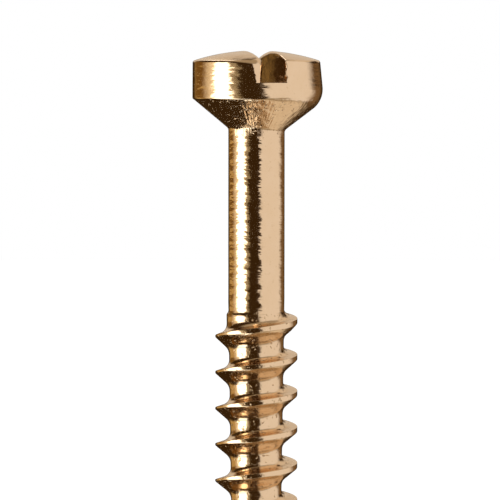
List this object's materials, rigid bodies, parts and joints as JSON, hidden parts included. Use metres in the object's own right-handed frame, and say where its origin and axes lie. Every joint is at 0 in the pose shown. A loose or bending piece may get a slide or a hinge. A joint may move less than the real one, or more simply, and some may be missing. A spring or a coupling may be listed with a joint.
{
  "type": "slotted wood screw",
  "caption": "Slotted wood screw with a raised countersunk head on a straight band, a plain shank and a coarse right-hand thread to a gimlet point.",
  "frame": {"origin": "on the screw's axis, in the plane of the head's rim, which comes flush with the wood", "axes": "+Z along the axis out of the head, towards the driver; the slot runs along Y; the point is at -Z"},
  "size_m": [0.008, 0.008, 0.0406],
  "materials": {
    "brass": "polished, with fine tool marks round the shank and light tarnish in the roots"
  },
  "bodies": {
    "root": {"screw": "brass"}
  },
  "joints": []
}
